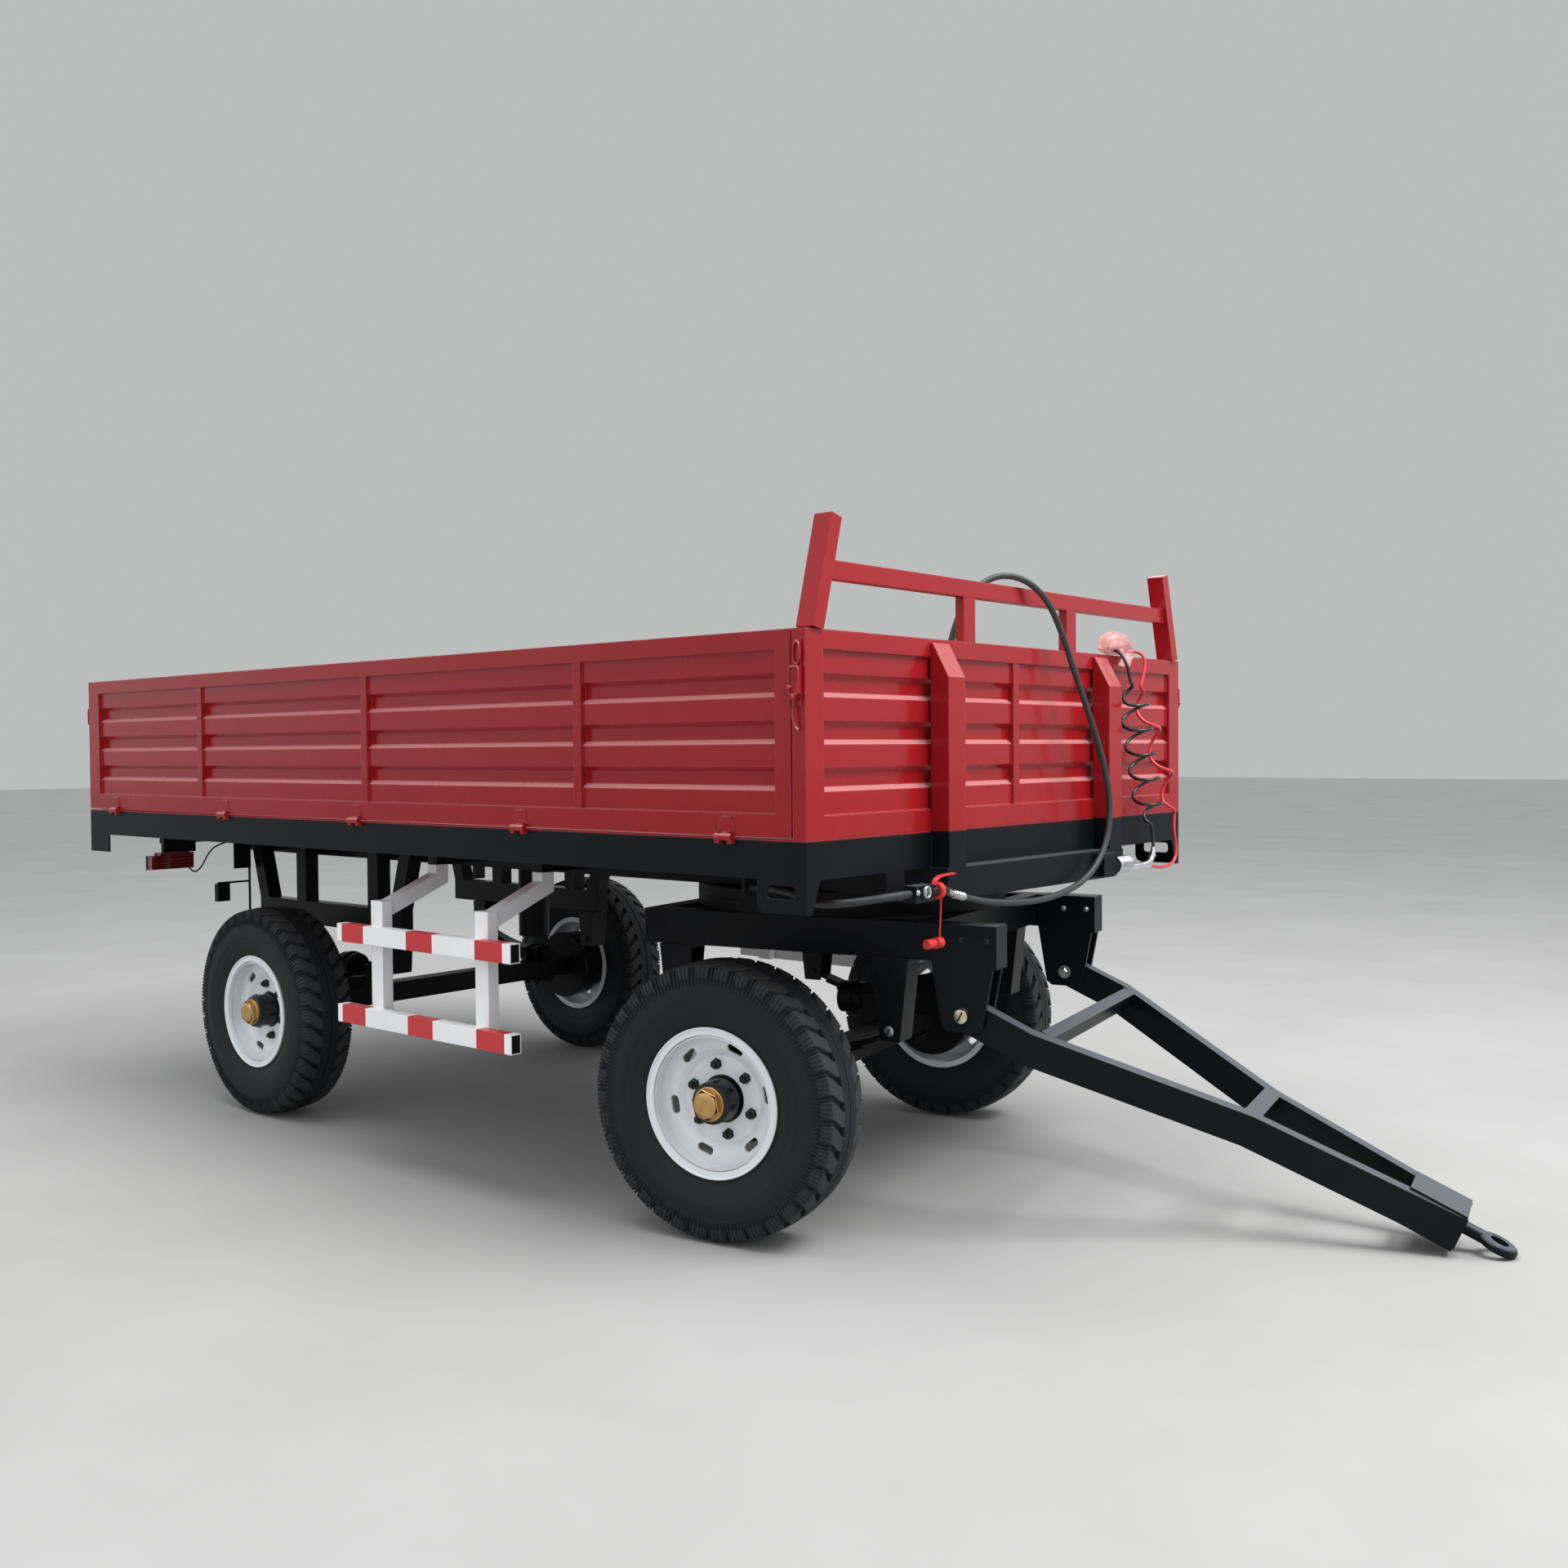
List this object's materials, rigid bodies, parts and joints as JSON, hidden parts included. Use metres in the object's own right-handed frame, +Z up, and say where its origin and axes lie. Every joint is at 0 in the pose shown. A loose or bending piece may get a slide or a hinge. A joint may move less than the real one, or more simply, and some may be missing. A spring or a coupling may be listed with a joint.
{
  "type": "farm dump trailer",
  "caption": "Drawbar farm trailer with a steered turntable bogie, a rear-tipping bed with drop sides and tailgate, side guards, and a drawbar resting on the ground.",
  "frame": {"origin": "on the ground under the middle of the trailer's overall box", "axes": "+X forward to the drawbar, +Y to the left, +Z up"},
  "size_m": [5.3405, 2.1926, 2.0354],
  "materials": {
    "black_paint": "satin black paint",
    "chrome_steel": "hard chrome",
    "clear_bag": "thin clear film",
    "hose_black": "braided rubber hose",
    "hose_red": "red coiled air tube",
    "hub_black": "black paint",
    "lamp_red": "moulded red lens",
    "red_paint": "gloss red paint",
    "tyre": "matte black rubber",
    "wheel_silver": "silver grey paint",
    "white_paint": "white paint with red bands",
    "zinc_steel": "bright zinc plate"
  },
  "bodies": {
    "chassis": {"chassis_frame": "black_paint", "turntable_upper_ring": "black_paint", "rear_axle": "black_paint", "rear_leaf_springs": "black_paint", "rear_right_drop_frame": "black_paint", "right_side_guard": "white_paint", "rear_left_drop_frame": "black_paint", "left_side_guard": "white_paint", "outriggers": "black_paint", "tail_lamps": "lamp_red"},
    "bed": {"bed_frame": "black_paint", "bed_floor": "black_paint", "board_hinges": "red_paint", "front_panel": "red_paint", "front_uprights": "red_paint", "headboard": "red_paint", "front_latches": "red_paint", "hydraulic_valve": "red_paint", "hose_fitting": "zinc_steel", "hydraulic_hose": "hose_black", "hose_plug": "zinc_steel", "supply_line": "hose_black", "air_couplings": "zinc_steel", "coupling_bag": "clear_bag", "air_line_black_coil": "hose_black", "air_line_black_tail": "hose_black", "air_line_red_coil": "hose_red", "air_line_red_tail": "hose_red"},
    "bogie": {"bogie_frame": "black_paint", "turntable_lower_ring": "black_paint", "front_axle": "black_paint", "front_leaf_springs": "black_paint", "drawbar_ears": "black_paint"},
    "drawbar": {"drawbar": "black_paint"},
    "right_board": {"right_board": "red_paint", "right_rear_latch": "red_paint"},
    "left_board": {"left_board": "red_paint", "left_rear_latch": "red_paint"},
    "tailgate": {"tailgate": "red_paint"},
    "cylinder_barrel": {"cylinder_barrel": "black_paint"},
    "cylinder_stage_1": {"cylinder_stage_1": "chrome_steel"},
    "cylinder_stage_2": {"cylinder_stage_2": "chrome_steel"},
    "cylinder_stage_3": {"cylinder_stage_3": "chrome_steel"},
    "cylinder_stage_4": {"cylinder_stage_4": "chrome_steel"},
    "front_right_wheel": {"front_right_tyre": "tyre", "front_right_rim": "wheel_silver", "front_right_hub": "hub_black"},
    "front_left_wheel": {"front_left_tyre": "tyre", "front_left_rim": "wheel_silver", "front_left_hub": "hub_black"},
    "rear_right_wheel": {"rear_right_tyre": "tyre", "rear_right_rim": "wheel_silver", "rear_right_hub": "hub_black"},
    "rear_left_wheel": {"rear_left_tyre": "tyre", "rear_left_rim": "wheel_silver", "rear_left_hub": "hub_black"}
  },
  "joints": [
    {"name": "bed_tip", "type": "hinge", "parent": "chassis", "child": "bed", "pos_m": [-2.49403, 0, 1.032], "axis": [0, -1, 0], "range_deg": [0, 45]},
    {"name": "right_board_hinge", "type": "hinge", "parent": "bed", "child": "right_board", "pos_m": [0, -1.082, 1.187], "axis": [-1, 0, 0], "range_deg": [-175, 0]},
    {"name": "left_board_hinge", "type": "hinge", "parent": "bed", "child": "left_board", "pos_m": [0, 1.082, 1.187], "axis": [1, 0, 0], "range_deg": [-175, 0]},
    {"name": "tailgate_hinge", "type": "hinge", "parent": "bed", "child": "tailgate", "pos_m": [-2.65603, 0, 1.187], "axis": [0, 1, 0], "range_deg": [-175, 0]},
    {"name": "bogie_steer", "type": "hinge", "parent": "chassis", "child": "bogie", "pos_m": [0.67097, 0, 0.905], "axis": [0, 0, 1], "range_deg": [-61.6, 38.4]},
    {"name": "drawbar_hinge", "type": "hinge", "parent": "bogie", "child": "drawbar", "pos_m": [1.26753, 0.12246, 0.64], "axis": [0.2011, -0.9796, 0], "range_deg": [0, 52]},
    {"name": "rear_right_wheel_spin", "type": "hinge", "parent": "chassis", "child": "rear_right_wheel", "pos_m": [-1.58903, -0.835, 0.405], "axis": [0, 1, 0], "continuous": true},
    {"name": "rear_left_wheel_spin", "type": "hinge", "parent": "chassis", "child": "rear_left_wheel", "pos_m": [-1.58903, 0.835, 0.405], "axis": [0, 1, 0], "continuous": true},
    {"name": "front_right_wheel_spin", "type": "hinge", "parent": "bogie", "child": "front_right_wheel", "pos_m": [0.83887, -0.81795, 0.405], "axis": [-0.2011, 0.9796, 0], "continuous": true},
    {"name": "front_left_wheel_spin", "type": "hinge", "parent": "bogie", "child": "front_left_wheel", "pos_m": [0.50307, 0.81795, 0.405], "axis": [-0.2011, 0.9796, 0], "continuous": true},
    {"name": "cylinder_swing", "type": "hinge", "parent": "chassis", "child": "cylinder_barrel", "pos_m": [-0.99403, 0, 0.985], "axis": [0, -1, 0], "range_deg": [0, 22.67]},
    {"name": "cylinder_slide_1", "type": "slide", "parent": "cylinder_barrel", "child": "cylinder_stage_1", "axis": [0, 0, 1], "range_m": [0, 0.28515]},
    {"name": "cylinder_slide_2", "type": "slide", "parent": "cylinder_stage_1", "child": "cylinder_stage_2", "axis": [0, 0, 1], "range_m": [0, 0.28515]},
    {"name": "cylinder_slide_3", "type": "slide", "parent": "cylinder_stage_2", "child": "cylinder_stage_3", "axis": [0, 0, 1], "range_m": [0, 0.28515]},
    {"name": "cylinder_slide_4", "type": "slide", "parent": "cylinder_stage_3", "child": "cylinder_stage_4", "axis": [0, 0, 1], "range_m": [0, 0.28515]}
  ],
  "couplings": [
    {"joint": "cylinder_swing", "follows": "bed_tip", "ratio": 0.50353},
    {"joint": "cylinder_slide_1", "follows": "bed_tip", "m_per_rad": 0.36294},
    {"joint": "cylinder_slide_2", "follows": "bed_tip", "m_per_rad": 0.36294},
    {"joint": "cylinder_slide_3", "follows": "bed_tip", "m_per_rad": 0.36294},
    {"joint": "cylinder_slide_4", "follows": "bed_tip", "m_per_rad": 0.36294}
  ]
}
